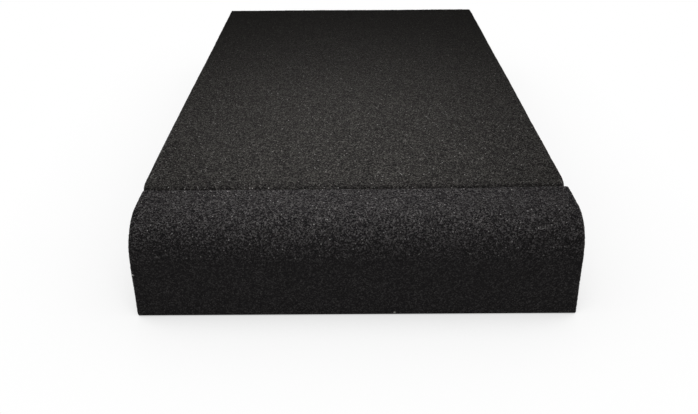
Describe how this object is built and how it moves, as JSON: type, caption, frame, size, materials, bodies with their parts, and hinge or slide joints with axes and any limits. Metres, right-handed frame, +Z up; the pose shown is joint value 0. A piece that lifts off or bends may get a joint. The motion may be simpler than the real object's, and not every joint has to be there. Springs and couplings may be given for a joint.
{
  "type": "speaker isolation pad",
  "caption": "Foam isolation pad for a desktop speaker: a base with a rounded front nose and a falling ramp, and a loose foam wedge on the ramp that makes the top level.",
  "frame": {"origin": "on the floor, at the middle of the pad's footprint", "axes": "+Z up, -Y towards the rounded front nose, +X to the right seen from the front"},
  "size_m": [0.17, 0.3, 0.04],
  "materials": {
    "base_foam": "matt open-cell foam",
    "insert_foam": "matt open-cell foam"
  },
  "bodies": {
    "root": {"base_pad": "base_foam", "wedge_insert": "insert_foam"}
  },
  "joints": []
}
